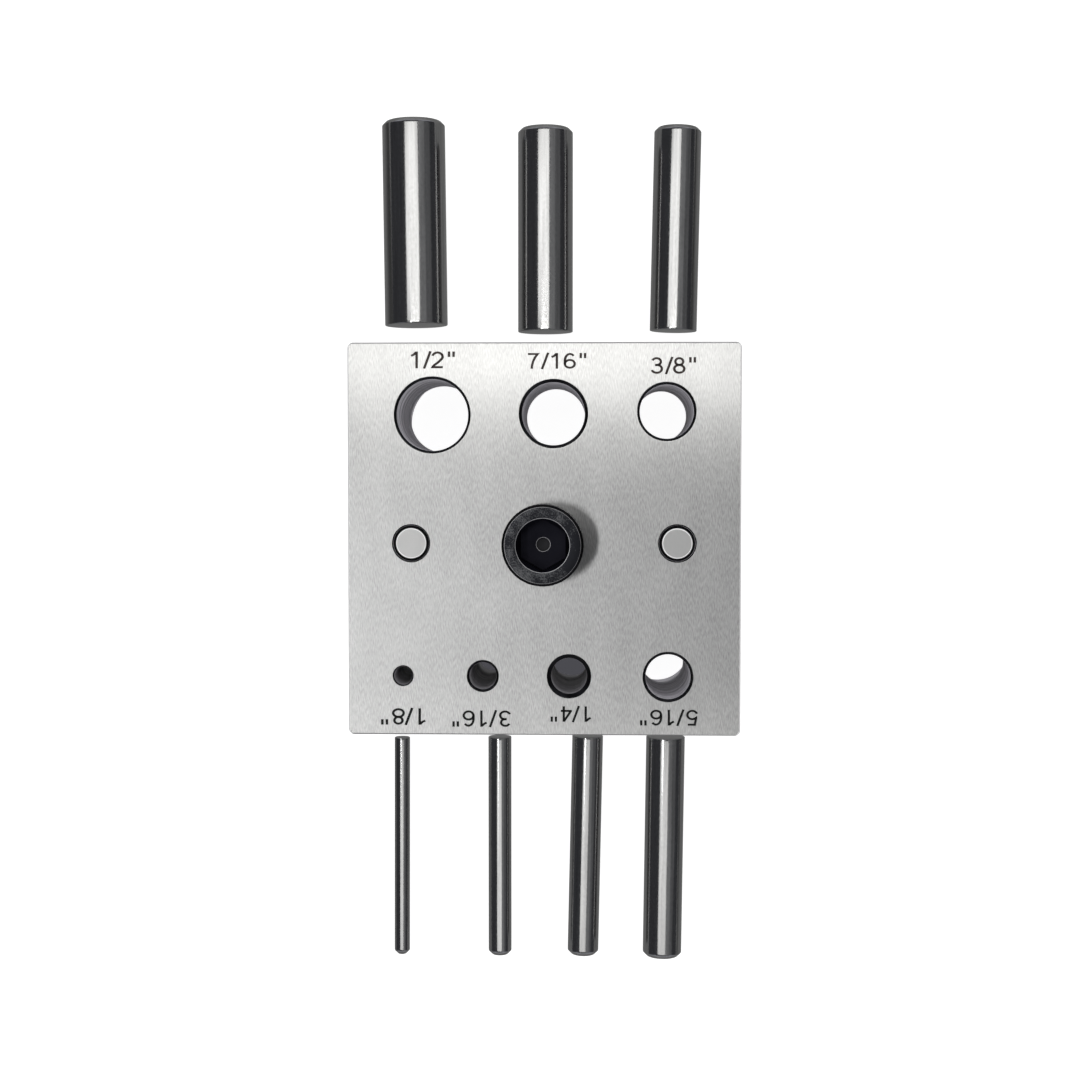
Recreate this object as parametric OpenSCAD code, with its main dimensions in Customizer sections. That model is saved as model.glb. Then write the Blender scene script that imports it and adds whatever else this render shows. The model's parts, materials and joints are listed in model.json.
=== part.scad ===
// Disc cutter for thin sheet metal: a square top plate on a square die plate, held in line by
// two guide pins and pressed together by one central socket screw, with seven round punches
// that lie on the bench behind and in front of it.
// Millimetres. The origin is on the bench, in the middle of the block and punches as they lie,
// +Z is up, +Y points to the row of large bores.

/* [Plates] */
// Side of the square block, along X and along Y
plate_side = 70; // [66:0.5:90]
// Thickness of the top plate, which guides the punches
top_plate_t = 20; // [17:0.5:24]
// Thickness of the die plate, which carries the cutting edges
die_plate_t = 30; // [28:0.5:40]
// Radius of the four upright corners of both plates
corner_r = 1; // [0.6:0.1:3]
// Bevel along the long edges of both plates
edge_bevel = 0.4; // [0.2:0.05:0.6]

/* [Punches] */
// Diameter of the half inch punch
punch_1_2_d = 12.7; // [12:0.05:13.5]
// Diameter of the seven sixteenths punch
punch_7_16_d = 11.1125; // [10.5:0.05:12]
// Diameter of the three eighths punch
punch_3_8_d = 9.525; // [9:0.05:10.4]
// Diameter of the five sixteenths punch
punch_5_16_d = 7.9375; // [7.2:0.05:8.8]
// Diameter of the quarter inch punch
punch_1_4_d = 6.35; // [5.6:0.05:7]
// Diameter of the three sixteenths punch
punch_3_16_d = 4.7625; // [4.2:0.05:5.5]
// Diameter of the eighth inch punch
punch_1_8_d = 3.175; // [2.6:0.05:4]
// Length of the three large punches
large_punch_length = 41; // [36:0.5:55]
// Length of the four small punches
small_punch_length = 45.5; // [36:0.5:55]
// Bevel round the struck end of a punch
struck_bevel = 0.8; // [0.3:0.05:1]
// Bevel round the cutting end of a punch
cutting_bevel = 0.12; // [0.05:0.01:0.25]

/* [Bores] */
// Radial clearance between a punch and its bore
punch_clearance = 0.02; // [0.01:0.005:0.05]
// Bevel round the mouth of a bore in the top face
mouth_bevel = 0.5; // [0.3:0.05:0.7]
// Bevel under the top plate, where a bore leaves it
lower_bevel = 0.2; // [0.1:0.05:0.4]
// Depth of the straight cutting land at the top of the die plate
die_land = 5; // [4:0.25:8]
// Step outward from the cutting land to the relief bore below it
relief_step = 2.5; // [1:0.1:2.8]

/* [Guide pins] */
// Diameter of a guide pin
pin_d = 6.35; // [5:0.05:8]
// Depth of the blind hole that a pin is pressed into
pin_depth = 20; // [12:0.5:24]
// Bevel round each end of a pin
pin_bevel = 0.55; // [0.2:0.05:0.8]
// Radial clearance of a pin in the top plate
pin_clearance = 0.025; // [0.01:0.005:0.08]

/* [Clamp screw] */
// Outer diameter of the screw's thread
screw_d = 9.525; // [8.4:0.005:10]
// Distance from one thread to the next
screw_pitch = 1.5875; // [1.25:0.0125:2]
// Length of the screw under its head
screw_length = 44.45; // [40:0.05:47]
// Plain shank between the head and the thread
shank_length = 12.7; // [8:0.1:16]
// Diameter of the screw's head
head_d = 14.2875; // [13:0.0125:17]
// Height of the screw's head
head_h = 9.525; // [8:0.025:11]
// Bevel round the top of the head
head_bevel = 0.45; // [0.2:0.05:0.8]
// Width of the hexagon socket across its flats
socket_af = 7.9375; // [7:0.0125:8.4]
// Depth of the hexagon socket
socket_depth = 5; // [4.4:0.1:6]
// Bevel round the mouth of the socket
socket_bevel = 0.25; // [0.1:0.05:0.4]
// Radial clearance of the screw in the top plate
screw_clearance = 0.4; // [0.25:0.05:0.8]
// Radial gap between the screw's thread and its hole in the die plate
thread_clearance = 0.05; // [0.02:0.01:0.1]

/* [Lift spring] */
// Diameter of the spring's wire
wire_d = 1.3; // [1:0.05:1.35]
// Number of curls in the spring
spring_curls = 6; // [4:1:6]
// Depth of the spring's seat in each plate
spring_seat_depth = 6; // [6:0.1:7]
// Radial gap between the screw's thread and the spring
spring_inner_gap = 0.5; // [0.3:0.05:0.8]
// Radial gap between the spring and its seat
spring_outer_gap = 0.45; // [0.3:0.05:0.8]
// Gap between each end of the spring and the floor of its seat
spring_end_gap = 0.05; // [0.02:0.01:0.1]

/* [Bench layout] */
// Gap between the block and the large punches behind it, before each one's own small shift
back_gap = 6.8; // [4:0.2:20]
// Gap between the block and the small punches in front of it, before each one's own small shift
front_gap = 8; // [4:0.2:20]

/* [Hidden] */

$fn = 96;

// How far a cut runs past the surface that it opens
overrun = 1;

block_h = die_plate_t + top_plate_t;

// The middle row of pins and screw sits a little towards the small bores
middle_row_y_share = -0.01;
middle_row_y = middle_row_y_share * plate_side;
// How far each guide pin stands from the screw, as a share of the block's side
pin_place_share = 0.3386;
screw_place = [0, middle_row_y];

PUNCH_DS = [punch_1_2_d, punch_7_16_d, punch_3_8_d, punch_5_16_d, punch_1_4_d, punch_3_16_d, punch_1_8_d];

LARGE_PUNCHES = 3;
// How far the punches reach from the middle of the block, behind it and in front of it
back_reach = plate_side / 2 + back_gap + large_punch_length;
front_reach = plate_side / 2 + front_gap + small_punch_length;
// The block stands so that the whole layout is centred on the origin
block_y = (front_reach - back_reach) / 2;

// Where each bore's axis stands, as shares of the block's side
bore_place_shares = [
    [-0.284, 0.316], [0.024, 0.319], [0.311, 0.324],
    [0.316, -0.350], [0.064, -0.349], [-0.156, -0.349], [-0.360, -0.349]
];
// Each bore's mouth bevel, as a share of mouth_bevel
mouth_bevel_shares = [0.9, 1.1, 0.9, 1, 1.5, 0.9, 0.5];

// Where the middle of each punch lies on the bench, sideways, as shares of the block's side
bench_x_shares = [-0.391, -0.013, 0.364, 0.335, 0.104, -0.149, -0.441];
// How far each punch's struck end is drawn in from the line of the furthest, as shares of the side
bench_in_shares = [0, 0.019, 0.016, 0.011, 0.011, 0.005, 0];
// How far each punch is turned on the bench, in degrees
bench_turns = [0.7, 0, -1.2, -0.8, -1.2, 0, -0.2];
// Which side of the block each punch lies on: 1 behind it, -1 in front of it
bench_sides = [1, 1, 1, -1, -1, -1, -1];

screw_r = screw_d / 2;
// Depth of a 60 degree thread with its crest and root cut flat
thread_depth = 0.61343 * screw_pitch;
thread_length = screw_length - shank_length;
thread_turns = floor(thread_length / screw_pitch);
thread_flat_share = 0.125;

wire_r = wire_d / 2;
spring_mean_r = screw_r + spring_inner_gap + wire_r;
spring_seat_r = spring_mean_r + wire_r + spring_outer_gap;
spring_low = die_plate_t - spring_seat_depth + spring_end_gap;
spring_height = 2 * (spring_seat_depth - spring_end_gap);
spring_pitch = (spring_height - wire_d) / spring_curls;
SPRING_RINGS = 8;
SPRING_SIDES = 6;

// The centre of the spring's wire at a share of a turn, counted in rings
function spring_point(ring) = let (turn = 360 * ring / SPRING_RINGS) [
    spring_mean_r * cos(turn),
    spring_mean_r * sin(turn),
    spring_low + wire_r + spring_pitch * ring / SPRING_RINGS
];

// One ring of points round the spring's wire, in the plane through the spring's axis
function spring_ring(ring) = let (turn = 360 * ring / SPRING_RINGS, middle = spring_point(ring)) [
    for (side = [0:SPRING_SIDES - 1])
        let (around = 360 * (side + 0.5) / SPRING_SIDES)
        middle + wire_r * [cos(around) * cos(turn), cos(around) * sin(turn), sin(around)]
];

// Least gap between the spring's wire and its next curl, measured between ring centres
function spring_gap() = min([
    for (a = [0:SPRING_RINGS * (spring_curls - 1)], b = [-2:2])
        if (a + SPRING_RINGS + b <= SPRING_RINGS * spring_curls)
            norm(spring_point(a + SPRING_RINGS + b) - spring_point(a)) - wire_d
]);

echo(str("Least gap of the lift spring to itself: ", spring_gap(), " mm"));

// Outline of a plate seen from above, with round corners
module plate_outline() {
    inner = plate_side - 2 * corner_r;
    square([plate_side, inner], center = true);
    square([inner, plate_side], center = true);
    for (x = [-1, 1], y = [-1, 1])
        translate([x * inner / 2, y * inner / 2]) circle(r = corner_r);
}

// A long bar along Y with the plate's width and thickness, and bevels on its four long edges
module bevelled_bar(thick) {
    half = plate_side / 2;
    inset = half - edge_bevel;
    rotate([90, 0, 0])
        linear_extrude(plate_side + 2 * overrun, center = true)
            polygon([
                [-half, edge_bevel], [-inset, 0], [inset, 0], [half, edge_bevel],
                [half, thick - edge_bevel], [inset, thick], [-inset, thick], [-half, thick - edge_bevel]
            ]);
}

module plate_blank(thick) {
    intersection() {
        linear_extrude(thick) plate_outline();
        bevelled_bar(thick);
        rotate([0, 0, 90]) bevelled_bar(thick);
    }
}

// A straight bore from below one level to above another
module through_bore(r, low, high) {
    translate([0, 0, low - overrun]) cylinder(r = r, h = high - low + 2 * overrun);
}

// A 45 degree bevel round a bore that opens upward at the given level
module mouth_cut(r, bevel, level) {
    translate([0, 0, level - bevel]) cylinder(r1 = r, r2 = r + bevel + overrun, h = bevel + overrun);
}

// The same bevel round a bore that opens downward
module lower_cut(r, bevel, level) {
    translate([0, 0, level - overrun]) cylinder(r1 = r + bevel + overrun, r2 = r, h = bevel + overrun);
}

module at_block() {
    translate([0, block_y, 0]) children();
}

module at_bore(i) {
    translate(plate_side * bore_place_shares[i]) children();
}

module at_pin(side) {
    translate([side * pin_place_share * plate_side, middle_row_y]) children();
}

function bore_r(i) = PUNCH_DS[i] / 2 + punch_clearance;

module top_plate() {
    pin_bore_r = pin_d / 2 + pin_clearance;
    screw_bore_r = screw_r + screw_clearance;
    color("#c4c6c8")
        at_block() difference() {
            translate([0, 0, die_plate_t]) plate_blank(top_plate_t);
            for (i = [0:len(PUNCH_DS) - 1])
                at_bore(i) {
                    through_bore(bore_r(i), die_plate_t, block_h);
                    mouth_cut(bore_r(i), mouth_bevel * mouth_bevel_shares[i], block_h);
                    lower_cut(bore_r(i), lower_bevel, die_plate_t);
                }
            for (side = [-1, 1])
                at_pin(side) {
                    through_bore(pin_bore_r, die_plate_t, block_h);
                    mouth_cut(pin_bore_r, lower_bevel, block_h);
                    lower_cut(pin_bore_r, lower_bevel, die_plate_t);
                }
            translate(screw_place) {
                through_bore(screw_bore_r, die_plate_t, block_h);
                mouth_cut(screw_bore_r, lower_bevel, block_h);
                translate([0, 0, die_plate_t - overrun])
                    cylinder(r = spring_seat_r, h = spring_seat_depth + overrun);
                lower_cut(spring_seat_r, lower_bevel, die_plate_t);
            }
        }
}

module die_plate() {
    land_floor = die_plate_t - die_land;
    color("#b9bbbe")
        at_block() difference() {
            plate_blank(die_plate_t);
            for (i = [0:len(PUNCH_DS) - 1])
                at_bore(i) {
                    through_bore(bore_r(i), 0, die_plate_t);
                    translate([0, 0, -overrun])
                        cylinder(r = bore_r(i) + relief_step, h = land_floor + overrun);
                }
            for (side = [-1, 1])
                at_pin(side)
                    translate([0, 0, die_plate_t - pin_depth])
                        cylinder(d = pin_d, h = pin_depth + overrun);
            translate(screw_place) {
                through_bore(screw_r + thread_clearance, 0, die_plate_t);
                translate([0, 0, die_plate_t - spring_seat_depth])
                    cylinder(r = spring_seat_r, h = spring_seat_depth + overrun);
                lower_cut(screw_r + thread_clearance, lower_bevel, 0);
            }
        }
}

module guide_pin(side) {
    pin_r = pin_d / 2;
    low = die_plate_t - pin_depth;
    color("#d4d6d9")
        at_block() at_pin(side)
            rotate_extrude()
                polygon([
                    [0, low], [pin_r - pin_bevel, low], [pin_r, low + pin_bevel],
                    [pin_r, block_h - pin_bevel], [pin_r - pin_bevel, block_h], [0, block_h]
                ]);
}

module guide_pin_left() { guide_pin(-1); }

module guide_pin_right() { guide_pin(1); }

// Half section of the screw, with its thread as a row of V grooves
module screw_section() {
    tip = block_h - screw_length;
    crest = thread_flat_share * screw_pitch;
    flank = (screw_pitch - 2 * crest) / 2;
    root_r = screw_r - thread_depth;
    thread_low = tip + thread_depth;
    top = block_h + head_h;
    polygon(concat(
        [[0, tip], [root_r, tip]],
        [for (turn = [0:thread_turns - 2])
            let (low = thread_low + turn * screw_pitch)
            each [
                [screw_r, low], [screw_r, low + crest],
                [root_r, low + crest + flank], [root_r, low + 2 * crest + flank]
            ]],
        [
            [screw_r, thread_low + (thread_turns - 1) * screw_pitch], [screw_r, block_h],
            [head_d / 2, block_h], [head_d / 2, top - head_bevel],
            [head_d / 2 - head_bevel, top], [0, top]
        ]
    ));
}

module clamp_screw() {
    socket_floor = block_h + head_h - socket_depth;
    corner = socket_af / 2 / cos(30);
    color("#2c2c2e")
        at_block() translate(screw_place)
            difference() {
                rotate_extrude() screw_section();
                translate([0, 0, socket_floor])
                    rotate([0, 0, 30]) cylinder(r = corner, h = socket_depth + overrun, $fn = 6);
                mouth_cut(corner - socket_bevel, 1.5 * socket_bevel, block_h + head_h);
            }
}

// One unbroken tube of wire, wound round the screw
module lift_spring() {
    last = SPRING_RINGS * spring_curls;
    points = [for (ring = [0:last]) each spring_ring(ring)];
    start_cap = [for (side = [SPRING_SIDES - 1:-1:0]) side];
    end_cap = [for (side = [0:SPRING_SIDES - 1]) last * SPRING_SIDES + side];
    walls = [
        for (ring = [0:last - 1], side = [0:SPRING_SIDES - 1])
            let (
                a = ring * SPRING_SIDES + side,
                b = ring * SPRING_SIDES + (side + 1) % SPRING_SIDES
            )
            each [[a, b, b + SPRING_SIDES], [a, b + SPRING_SIDES, a + SPRING_SIDES]]
    ];
    color("#8f9296")
        at_block() translate(screw_place) polyhedron(points, concat([start_cap], walls, [end_cap]));
}

// A punch on its side on the bench, with its struck end pointing away from the block
module punch(i) {
    r = PUNCH_DS[i] / 2;
    length = i < LARGE_PUNCHES ? large_punch_length : small_punch_length;
    reach = i < LARGE_PUNCHES ? back_reach : front_reach;
    struck = min(struck_bevel, r / 2);
    out = reach - plate_side * bench_in_shares[i] - length / 2;
    color("#54565a")
        translate([plate_side * bench_x_shares[i], block_y + bench_sides[i] * out, r])
            rotate([-90 * bench_sides[i], 0, bench_turns[i]])
                translate([0, 0, -length / 2])
                    rotate_extrude()
                        polygon([
                            [0, 0], [r - cutting_bevel, 0], [r, cutting_bevel],
                            [r, length - struck], [r - struck, length], [0, length]
                        ]);
}

module punch_1_2() { punch(0); }

module punch_7_16() { punch(1); }

module punch_3_8() { punch(2); }

module punch_5_16() { punch(3); }

module punch_1_4() { punch(4); }

module punch_3_16() { punch(5); }

module punch_1_8() { punch(6); }

top_plate();
die_plate();
guide_pin_left();
guide_pin_right();
clamp_screw();
lift_spring();
punch_1_2();
punch_7_16();
punch_3_8();
punch_5_16();
punch_1_4();
punch_3_16();
punch_1_8();
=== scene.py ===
"""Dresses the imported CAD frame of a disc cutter: two bored plates, guide pins, screw, spring and punches.

Lengths are in metres where no comment says otherwise, in the frame of the CAD part: the bench is z = 0 and +Y
points to the large bores.
"""

import cmath
import json
import math

import bmesh
import bpy
from bpy.props import FloatProperty, FloatVectorProperty, IntProperty, PointerProperty
from bpy.types import Operator, Panel, PropertyGroup
from mathutils import Matrix, Vector


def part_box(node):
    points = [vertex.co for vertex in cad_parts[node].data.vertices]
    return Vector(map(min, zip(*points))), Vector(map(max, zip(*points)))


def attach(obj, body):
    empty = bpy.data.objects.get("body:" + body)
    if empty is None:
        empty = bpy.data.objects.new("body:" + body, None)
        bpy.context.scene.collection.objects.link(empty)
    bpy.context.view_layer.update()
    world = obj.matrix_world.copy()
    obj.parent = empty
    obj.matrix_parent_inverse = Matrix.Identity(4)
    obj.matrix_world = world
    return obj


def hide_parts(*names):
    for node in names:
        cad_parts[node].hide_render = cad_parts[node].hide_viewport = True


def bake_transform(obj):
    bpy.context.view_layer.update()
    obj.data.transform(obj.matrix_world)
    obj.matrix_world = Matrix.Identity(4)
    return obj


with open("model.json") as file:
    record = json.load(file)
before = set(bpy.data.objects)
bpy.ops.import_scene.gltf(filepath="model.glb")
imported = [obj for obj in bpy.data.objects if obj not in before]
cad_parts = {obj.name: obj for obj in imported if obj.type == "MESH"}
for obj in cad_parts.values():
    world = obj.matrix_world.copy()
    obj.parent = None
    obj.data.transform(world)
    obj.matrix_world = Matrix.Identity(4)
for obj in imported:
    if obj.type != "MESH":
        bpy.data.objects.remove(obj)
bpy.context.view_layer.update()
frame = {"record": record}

bl_info = {
    "name": "Disc cutter",
    "version": (1, 0, 0),
    "blender": (4, 5, 0),
    "location": "3D View > Sidebar > Disc cutter",
    "description": "Dresses the CAD frame of a disc cutter in ground, bored and blackened steel",
    "category": "Object",
}

MM = 0.001
# Points closer than this are one point
MERGE = 1e-7
# Depth of a thread, as a share of its pitch
THREAD_DEPTH = 0.61343
# A corner whose two directions cancel out to less than this is none
STRAIGHT = 1e-4
# Width of the strip of flat face that is kept beside each turned or filed edge
LEAD = 0.12 * MM


def half_width(node):
    """Half of a node's size along X."""
    low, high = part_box(node)
    return (high.x - low.x) / 2


def upright_axis(node):
    """The middle of a node, seen from above."""
    low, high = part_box(node)
    return Vector(((low.x + high.x) / 2, (low.y + high.y) / 2))


JOINT_LEVEL, BLOCK_TOP = (corner.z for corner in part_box("top_plate"))
BLOCK_MIDDLE = upright_axis("top_plate")
HALF_SIDE = half_width("top_plate")
SCREW_AXIS = upright_axis("clamp_screw")
PINS = ("guide_pin_left", "guide_pin_right")
PUNCHES = ("1_2", "7_16", "3_8", "5_16", "1_4", "3_16", "1_8")
BORES = [mount for mount in frame["record"]["mounts"] if mount["name"].startswith("punch_bore_")]

# Text, middle from the block's middle, width and height in millimetres, and whether it reads from behind
SIZE_MARKS = (
    ('1/2"', -19.77, 31.89, 7.9, 3.2, False),
    ('7/16"', 2.33, 31.67, 10.36, 3.0, False),
    ('3/8"', 22.91, 30.82, 7.99, 3.17, False),
    ('1/8"', -25.17, -31.76, 8.06, 3.2, True),
    ('3/16"', -11.15, -32.09, 10.48, 3.17, True),
    ('1/4"', 4.83, -31.2, 7.28, 3.0, True),
    ('5/16"', 22.31, -31.78, 10.32, 3.06, True),
)

# Where a digit is 1 high: a stroke's width, and how far a digit or a narrow character moves the next one on
STROKE = 0.13
DIGIT = 0.777
NARROW = {"/": 0.388, '"': 0.496}


def bow(x, y, across, up, start, end):
    """Points along an arc of an ellipse, between two angles in degrees."""
    steps = 20
    angles = [math.radians(start + (end - start) * k / steps) for k in range(steps + 1)]
    return [(x + across * math.cos(angle), y + up * math.sin(angle)) for angle in angles]


CHARACTERS = {
    "1": [[(0.15, 0.74), (0.29, 0.82), (0.4, 0.95)], [(0.43, 1.0), (0.43, 0.0)]],
    "2": [
        bow(0.33, 0.69, 0.255, 0.2475, 168, -32)
        + [(0.37, 0.36), (0.19, 0.21), (0.1, 0.11), (0.08, 0.0625), (0.6, 0.0625)],
    ],
    "3": [
        bow(0.315, 0.73, 0.225, 0.2075, 160, -88) + [(0.24, 0.522)],
        [(0.24, 0.53)] + bow(0.325, 0.3, 0.265, 0.2375, 88, -162),
    ],
    "4": [[(0.48, 1.0), (0.48, 0.0)], [(0.46, 0.95), (0.08, 0.3)], [(0.03, 0.3), (0.65, 0.3)]],
    "5": [[(0.57, 0.9375), (0.19, 0.9375), (0.125, 0.52)] + bow(0.33, 0.325, 0.265, 0.2625, 142, -162)],
    "6": [bow(0.35, 0.5, 0.275, 0.4375, 46, 188) + [(0.075, 0.31)], bow(0.34, 0.31, 0.262, 0.2475, 0, 360)],
    "7": [[(0.06, 0.9375), (0.58, 0.9375), (0.44, 0.73), (0.34, 0.48), (0.28, 0.22), (0.26, 0.0)]],
    "8": [bow(0.335, 0.735, 0.205, 0.2025, 0, 360), bow(0.335, 0.295, 0.265, 0.2325, 0, 360)],
    "/": [[(0.03, -0.02), (0.36, 1.02)]],
    '"': [[(0.14, 1.0), (0.14, 0.67)], [(0.37, 1.0), (0.37, 0.67)]],
}


def setting(kind, **options):
    """A maker of properties of one kind."""

    def made(name, description, default):
        return kind(name=name, description=description, default=default, **options)

    return made


# A length in metres, a plain number, a whole number, a point in metres, seven turns and a linear colour
length = setting(FloatProperty, min=0.0, max=1.0, precision=5, unit="LENGTH")
number = setting(FloatProperty, min=0.0, max=1000.0)
count = setting(IntProperty, min=1, max=512)
position = setting(FloatVectorProperty, size=3, precision=5, subtype="TRANSLATION")
rotations = setting(FloatVectorProperty, size=7, unit="ROTATION")
tint = setting(FloatVectorProperty, size=3, min=0.0, max=1.0, subtype="COLOR")


class BlockSettings(PropertyGroup):
    """Sizes of the two plates that the frame doesn't give by itself."""

    corner_radius: length("Corner radius", "Radius of the plates' upright corners", 0.001)
    edge_bevel: length("Edge bevel", "Broken edge all round the plates", 0.0002)
    edge_ease: length("Edge ease", "Small radius where two machined faces meet", 0.00007)
    lower_bevel: length("Lower bevel", "Bevel where a bore leaves the top plate", 0.0002)
    land_depth: length("Cutting land", "Depth of the straight land in the die plate", 0.005)
    relief_step: length("Relief step", "Step outward from the land to the relief bore", 0.0025)
    bore_sides: count("Bore sides", "Sides of each round bore", 128)
    mark_depth: length("Mark depth", "Thickness of the etched size marks", 0.00003)


class PinSettings(PropertyGroup):
    """Sizes of the guide pins."""

    bevel: length("Bevel", "Bevel round each end of a pin", 0.00055)
    ease: length("Ease", "Small radius at the edges of the bevel", 0.00025)
    clearance: length("Clearance", "Radial clearance of a pin in the top plate", 0.000025)
    seat_clearance: length("Seat clearance", "Radial clearance of a pin in the die plate", 0.00001)
    # Painted highlight: the rim round a pin's end is coloured light grey for the highlight on its edge
    rim: length("Rim", "Depth of the bright rim round the end of a pin", 0.000075)
    sides: count("Sides", "Sides of a pin", 96)


class ScrewSettings(PropertyGroup):
    """Sizes of the clamp screw and its hole."""

    thread_diameter: length("Thread diameter", "Outer diameter of the thread", 0.009525)
    pitch: length("Pitch", "Distance from one thread to the next", 0.0015875)
    shank_length: length("Shank", "Plain shank under the head", 0.0127)
    head_bevel: length("Head bevel", "Bevel round the top of the head", 0.00045)
    socket_width: length("Socket width", "Width of the hexagon socket across its flats", 0.0079375)
    socket_depth: length("Socket depth", "Depth of the hexagon socket", 0.005)
    socket_mouth: length("Socket mouth", "Radius of the bevelled mouth of the socket", 0.0047)
    knurls: count("Knurls", "Number of ridges round the head", 60)
    knurl_depth: length("Knurl depth", "Depth of the grooves between the ridges", 0.00012)
    plate_clearance: length("Plate clearance", "Radial clearance of the screw in the top plate", 0.0004)
    thread_clearance: length("Thread clearance", "Radial clearance of the thread in the die plate", 0.00005)


class SpringSettings(PropertyGroup):
    """Sizes of the lift spring and its seats."""

    wire: length("Wire", "Diameter of the spring's wire", 0.0013)
    curls: count("Curls", "Number of curls", 6)
    seat_depth: length("Seat depth", "Depth of the spring's seat in each plate", 0.006)
    seat_radius: length("Seat radius", "Radius of the spring's seats", 0.0070125)


class PunchSettings(PropertyGroup):
    """Sizes of the punches, and how they lie on the bench."""

    struck_bevel: length("Struck bevel", "Bevel round the end that the hammer strikes", 0.0008)
    cutting_bevel: length("Cutting bevel", "Bevel round the cutting end", 0.00012)
    ease: length("Ease", "Small radius at the edges of the bevels", 0.00035)
    sides: count("Sides", "Sides of a punch", 160)
    turns: rotations(
        "Turns",
        "How far each punch is turned on the bench, from the half inch one down",
        [math.radians(a) for a in (0.7, 0.0, -1.2, -0.8, -1.2, 0.0, -0.2)],
    )


class FinishSettings(PropertyGroup):
    """Colours of the steels."""

    plate: tint("Plate", "Ground top and bottom of the plates", (0.58, 0.58, 0.575))
    edge: tint("Edge", "Broken edges of the plates and bright rims of the pins", (0.85, 0.85, 0.85))
    wall: tint("Bore wall", "Reamed walls of the bores", (0.9, 0.88, 0.94))
    # Painted shade: bevels round the bores and pins are coloured near black, for the dark that they show;
    # where the plates meet, the same colour is a dark joint line
    bevel: tint("Bevel", "Darkened bevels round the bores and pins", (0.03, 0.03, 0.032))
    pin: tint("Pin", "Ground dowel steel", (0.5, 0.5, 0.495))
    oxide: tint("Oxide", "Black oxide of the clamp screw", (0.006, 0.0065, 0.009))
    scuff: tint("Scuff", "The oxide where handling has rubbed it", (0.095, 0.097, 0.102))
    punch: tint("Punch", "Polished punch steel", (0.42, 0.42, 0.42))
    spring: tint("Spring", "Drawn spring wire", (0.45, 0.45, 0.47))
    side: tint("Plate side", "Ground steel of the plates' sides", (0.62, 0.62, 0.612))
    upper_mark: tint("Upper marks", "Size marks by the large bores", (0.03, 0.022, 0.02))
    lower_mark: tint("Lower marks", "Size marks by the small bores", (0.006, 0.0055, 0.0055))


class StageSettings(PropertyGroup):
    """Camera, floor and lights."""

    camera_place: position("Camera place", "Where the camera stands", (0.0082, 0.01435, 0.35))
    camera_target: position("Camera target", "The middle of the picture", (-0.0007, 0.00275, 0.05))
    lens: number("Lens", "Focal length in millimetres on a 36 mm sensor", 56.25)
    floor_glow: number("Floor glow", "Light given off by the white floor", 0.93)
    floor_shine: number("Floor shine", "Brightness of the floor in reflections", 0.27)
    dome_shine: number("Dome shine", "Brightness of the dark room in reflections", 0.07)
    end_shine: number("End shine", "Brightness of the low front and rear of the room in reflections", 0.6)
    rear_light: number("Rear light", "Brightness of the soft light over the large punches", 2.45)
    front_light: number("Front light", "Brightness of the soft light over the small punches", 1.7)
    strip_light: number("Strip light", "Brightness of the narrow light over the rear of the block", 10.7)
    left_light: number("Left light", "Brightness of the faint light on the left", 0.12)
    side_light: number("Side light", "Brightness of the faint light on the right", 0.26)
    key_light: number("Key light", "Brightness of the small light on the left", 22.6)
    warm_light: tint("Warm light", "Colour of the lights over the front and rear", (1.0, 0.995, 0.975))
    room: number("Room", "Brightness of the room", 0.9)


class CutterSettings(PropertyGroup):
    """All settings of the disc cutter."""

    block: PointerProperty(type=BlockSettings)
    pin: PointerProperty(type=PinSettings)
    screw: PointerProperty(type=ScrewSettings)
    spring: PointerProperty(type=SpringSettings)
    punch: PointerProperty(type=PunchSettings)
    finish: PointerProperty(type=FinishSettings)
    stage: PointerProperty(type=StageSettings)


def maths(operation, swapped=False):
    """A method of Signal that adds a Math node."""

    def add_node(signal, *others):
        values = (*others, signal) if swapped else (signal, *others)
        return signal.finish.node("ShaderNodeMath", {"operation": operation}, dict(enumerate(values)))

    return add_node


class Signal:
    """One output socket of a finish, whose arithmetic adds Math nodes."""

    __add__ = __radd__ = maths("ADD")
    __sub__, __rsub__ = maths("SUBTRACT"), maths("SUBTRACT", swapped=True)
    __mul__ = __rmul__ = maths("MULTIPLY")
    __abs__ = maths("ABSOLUTE")
    above = maths("GREATER_THAN")
    fraction = maths("FRACT")

    def __init__(self, finish, socket):
        self.finish = finish
        self.socket = socket

    def ramp(self, low, high):
        """0 up to low, 1 from high on, and straight between them."""
        inputs = {"Value": self, "From Min": low, "From Max": high}
        return self.finish.node("ShaderNodeMapRange", {"clamp": True}, inputs)


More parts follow.
